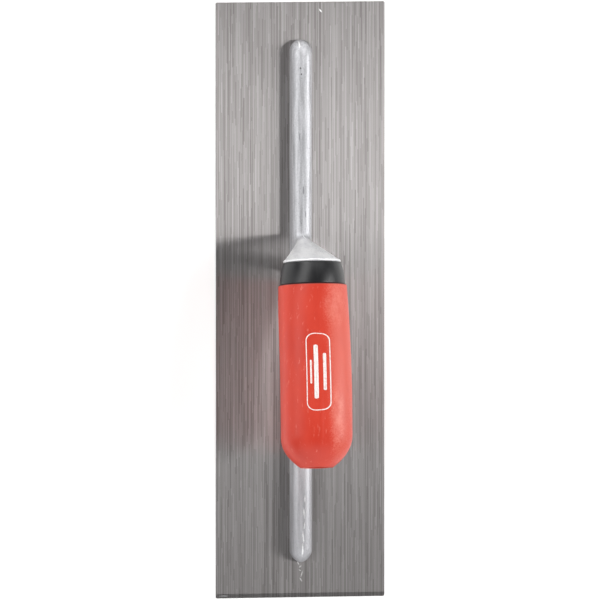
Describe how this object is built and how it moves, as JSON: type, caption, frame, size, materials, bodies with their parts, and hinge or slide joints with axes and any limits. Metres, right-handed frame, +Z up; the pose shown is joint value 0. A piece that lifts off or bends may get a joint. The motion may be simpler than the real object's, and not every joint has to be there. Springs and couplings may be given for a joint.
{
  "type": "finishing trowel",
  "caption": "Rectangular steel finishing trowel with a cast aluminium mounting and a soft-sleeved handle set above the blade.",
  "frame": {"origin": "centre of the blade's flat working face", "axes": "+X along the blade towards the toe, +Y to the left of the stroke, +Z up through the handle"},
  "size_m": [0.3556, 0.1016, 0.0823],
  "materials": {
    "blade_steel": "brushed lengthwise",
    "rivet_metal": "ground flush",
    "cast_metal": "tumbled casting",
    "collar_plastic": "glossy",
    "core_plastic": "as moulded",
    "grip_rubber": "satin",
    "screw_steel": "zinc plated",
    "washer_steel": "zinc plated"
  },
  "bodies": {
    "root": {"blade": "blade_steel", "blade_rivets": "rivet_metal", "mounting": "cast_metal", "collar": "collar_plastic", "handle_core": "core_plastic", "grip_sleeve": "grip_rubber", "handle_screw": "screw_steel", "screw_washer": "washer_steel"}
  },
  "joints": []
}
